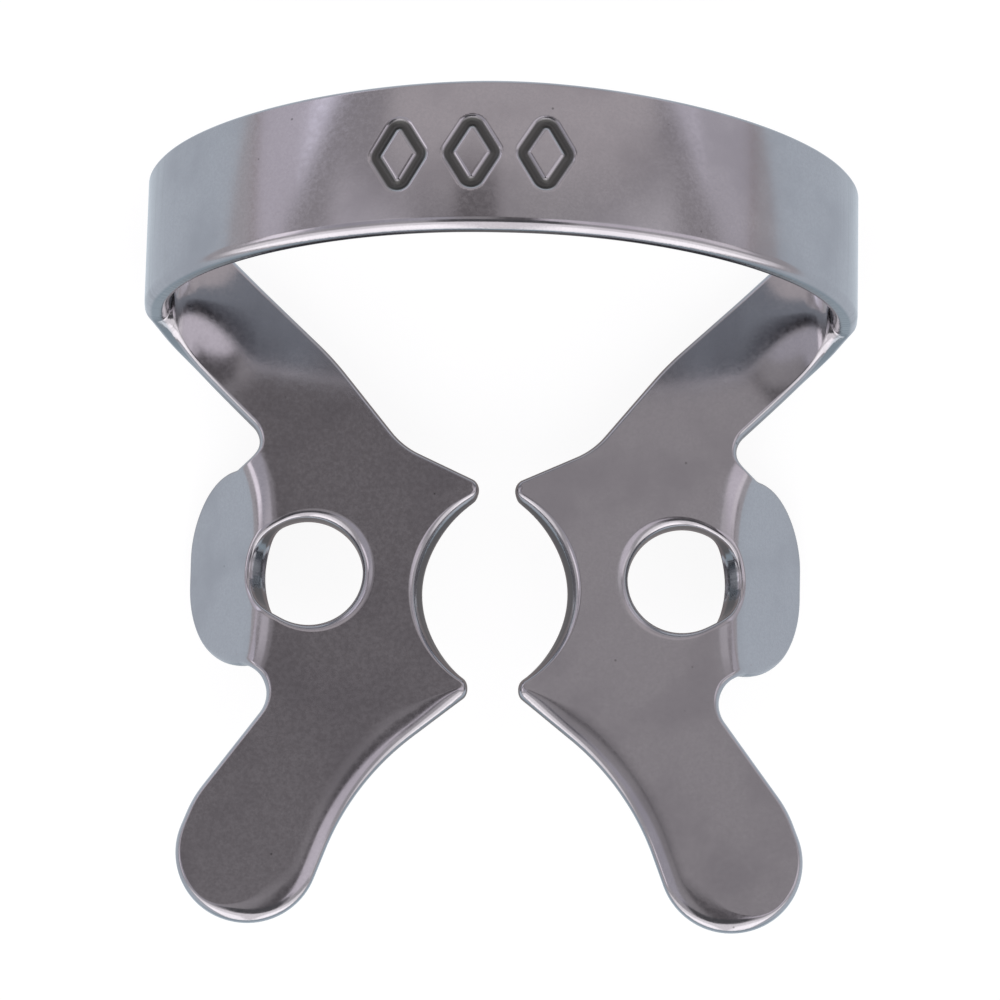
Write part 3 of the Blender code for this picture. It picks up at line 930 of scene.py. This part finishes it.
def floor():
    """The floor, white to the camera, and a little cooler in the steel, with a painted shadow under the
    object there.
    """
    mesh = bpy.data.meshes.new("floor")
    corners = [(x * FLOOR_HALF, y * FLOOR_HALF, 0) for x, y in ((-1, -1), (1, -1), (1, 1), (-1, 1))]
    mesh.from_pydata(corners, [], [(0, 1, 2, 3)])
    item = bpy.data.objects.new("floor", mesh)
    bpy.context.scene.collection.objects.link(item)
    material = bpy.data.materials.new("floor")
    material.use_nodes = True
    nodes = material.node_tree.nodes
    links = material.node_tree.links
    shader = nodes["Principled BSDF"]
    shader.inputs["Base Color"].default_value = FLOOR_COLOR
    shader.inputs["Roughness"].default_value = 1
    path = nodes.new("ShaderNodeLightPath")

    # To the camera: white, with the object's shadow kept faint
    glow = nodes.new("ShaderNodeEmission")
    glow.inputs["Color"].default_value = FLOOR_SEEN
    glow.inputs["Strength"].default_value = FLOOR_SEEN_GLOW
    shade = nodes.new("ShaderNodeBsdfDiffuse")
    shade.inputs["Color"].default_value = FLOOR_SEEN_SHADE
    seen = nodes.new("ShaderNodeAddShader")
    links.new(glow.outputs[0], seen.inputs[0])
    links.new(shade.outputs[0], seen.inputs[1])

    # To the steel: the same background, a little cooler, and darker under the object by a painted shadow
    mirrored = nodes.new("ShaderNodeEmission")
    place = nodes.new("ShaderNodeTexCoord")
    distance = nodes.new("ShaderNodeVectorMath")
    distance.operation = "LENGTH"
    links.new(place.outputs["Object"], distance.inputs[0])
    painted_shadow = nodes.new("ShaderNodeMapRange")
    painted_shadow.inputs["From Min"].default_value = UNDER_RADIUS
    painted_shadow.inputs["From Max"].default_value = UNDER_FADE
    links.new(distance.outputs["Value"], painted_shadow.inputs["Value"])
    colors = nodes.new("ShaderNodeMix")
    colors.data_type = "RGBA"
    factor, under, beyond = colors.inputs[0], colors.inputs[6], colors.inputs[7]
    under.default_value = FLOOR_MIRRORED_PAINTED_SHADOW
    beyond.default_value = FLOOR_MIRRORED
    links.new(painted_shadow.outputs["Result"], factor)
    links.new(colors.outputs[2], mirrored.inputs["Color"])
    either = nodes.new("ShaderNodeMath")
    either.operation = "MAXIMUM"
    links.new(path.outputs["Is Glossy Ray"], either.inputs[0])
    links.new(path.outputs["Is Transmission Ray"], either.inputs[1])

    first = nodes.new("ShaderNodeMixShader")
    links.new(either.outputs[0], first.inputs[0])
    links.new(shader.outputs[0], first.inputs[1])
    links.new(mirrored.outputs[0], first.inputs[2])
    second = nodes.new("ShaderNodeMixShader")
    links.new(path.outputs["Is Camera Ray"], second.inputs[0])
    links.new(first.outputs[0], second.inputs[1])
    links.new(seen.outputs[0], second.inputs[2])
    links.new(second.outputs[0], nodes["Material Output"].inputs["Surface"])
    mesh.materials.append(material)
    item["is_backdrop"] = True


# Studio: patches of light and dark round the object. Each has a middle, given by how far it lies to the
# right and to the rear of straight up, a half width each way and a soft edge, all in degrees, and a
# colour. The last number is its slant: by how much it narrows for each degree towards the rear.
STUDIO_BASE = (0.62, 0.60, 0.63)
PATCHES = [
    ("front softbox", (0, -68), (80, 40), 8, (2.1, 2.04, 2.1), 0),
    ("front softbox's dim side", (0, -27), (80, 10), 8, (1.4, 1.36, 1.4), 0),
    ("front middle", (0, -60), (14, 40), 10, (1.3, 1.26, 1.3), 0),
    ("side line left", (-70, 30), (18.5, 30), 1.5, (0.54, 0.48, 0.50), -0.8),
    ("side line right", (70, 30), (18.5, 30), 1.5, (0.54, 0.48, 0.50), -0.8),
    ("side wedge left", (-70, 30), (15.5, 30), 1.5, (0.80, 0.76, 0.85), -0.8),
    ("side wedge right", (70, 30), (15.5, 30), 1.5, (0.71, 0.68, 0.745), -0.8),
    ("side streak left", (-60, 30), (8, 27), 3, (1.3, 1.26, 1.45), 0),
    ("side streak right", (60, 30), (8, 27), 3, (0.95, 0.91, 1.02), 0),
    ("rear dark", (0, 35), (63, 25), 1.5, (0.43, 0.405, 0.43), 0.7),
    ("rear middle", (6, 46), (48, 9), 7, (0.68, 0.635, 0.66), 0),
    ("wing sweep left", (-36, 27), (20, 6), 8, (0.80, 0.76, 0.82), 0),
    ("wing sweep right", (36, 27), (20, 6), 8, (0.74, 0.71, 0.75), 0),
    ("front left", (-8, 8), (10, 18), 4, (0.45, 0.43, 0.45), 0),
    ("front right", (8, 8), (10, 18), 4, (0.15, 0.14, 0.15), 0),
    ("wing near left", (-20, 29), (9, 7), 9, (0.36, 0.34, 0.36), 0),
    ("wing near right", (20, 29), (9, 7), 9, (0.50, 0.48, 0.50), 0),
    ("glow left", (-38, 12), (24, 11), 5, (0.60, 0.58, 0.65), 0),
    ("glow right", (36.5, 12), (26, 11), 4, (0.97, 0.91, 1.0), 0),
    ("ceiling left", (-9, 33), (7, 7), 4, (0.21, 0.195, 0.205), 0),
    ("ceiling right", (8, 32), (8, 7), 4, (0.51, 0.484, 0.505), 0),
    ("bend left", (-65, 8), (7, 12), 5, (1.55, 1.46, 1.58), 0),
    ("bend right", (65, 8), (7, 12), 5, (1.12, 1.06, 1.13), 0),
    ("camera", (0, -6), (18, 11), 5, (0.11, 0.11, 0.12), 0),
]


def world():
    """The studio's patches to the steel, and plain white to the camera."""
    scene = bpy.context.scene
    scene.view_settings.view_transform = "Standard"
    scene.world = bpy.data.worlds.new("studio")
    scene.world.use_nodes = True
    nodes = scene.world.node_tree.nodes
    links = scene.world.node_tree.links

    def math_node(operation, first, second):
        node = nodes.new("ShaderNodeMath")
        node.operation = operation
        for socket, value in zip(node.inputs, (first, second)):
            if isinstance(value, (int, float)):
                socket.default_value = value
            else:
                links.new(value, socket)
        return node.outputs[0]

    direction = nodes.new("ShaderNodeTexCoord").outputs["Generated"]
    parts = nodes.new("ShaderNodeSeparateXYZ")
    links.new(direction, parts.inputs[0])
    x, y, z = parts.outputs
    to_degrees = 180 / math.pi
    rightward = math_node("MULTIPLY", math_node("ARCTAN2", x, z), to_degrees)
    squares = math_node("ADD", math_node("MULTIPLY", x, x), math_node("MULTIPLY", z, z))
    level = math_node("SQRT", squares, 0)
    rearward = math_node("MULTIPLY", math_node("ARCTAN2", y, level), to_degrees)

    def inside(angle, middle, half, soft):
        """1 where the angle is within half of the middle, falling softly to 0."""
        node = nodes.new("ShaderNodeMapRange")
        node.interpolation_type = "SMOOTHSTEP"
        away = math_node("ABSOLUTE", math_node("SUBTRACT", angle, middle), 0)
        links.new(away, node.inputs["Value"])
        node.inputs["From Min"].default_value = half + soft / 2
        node.inputs["From Max"].default_value = half - soft / 2
        return node.outputs["Result"]

    def background(color):
        node = nodes.new("ShaderNodeBackground")
        node.inputs["Color"].default_value = (*color, 1)
        return node.outputs[0]

    def mix(share, under, over):
        node = nodes.new("ShaderNodeMixShader")
        for socket, value in zip(node.inputs, (share, under, over)):
            links.new(value, socket)
        return node.outputs[0]

    studio = background(STUDIO_BASE)
    for _, middle, half, soft, color, slant in PATCHES:
        side = math_node("ABSOLUTE", math_node("SUBTRACT", rightward, middle[0]), 0)
        narrowing = math_node("MULTIPLY", math_node("SUBTRACT", rearward, middle[1]), slant)
        side = math_node("ADD", side, narrowing)
        across = inside(side, 0, half[0], soft)
        along = inside(rearward, middle[1], half[1], soft)
        studio = mix(math_node("MULTIPLY", across, along), studio, background(color))
    camera_ray = nodes.new("ShaderNodeLightPath").outputs["Is Camera Ray"]
    links.new(mix(camera_ray, studio, background((1, 1, 1))), nodes["World Output"].inputs["Surface"])


camera()
body = clamp()
body.data.materials.append(steel())
floor()
world()

[[list(corner) for corner in box] for box in (cad_box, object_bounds())]
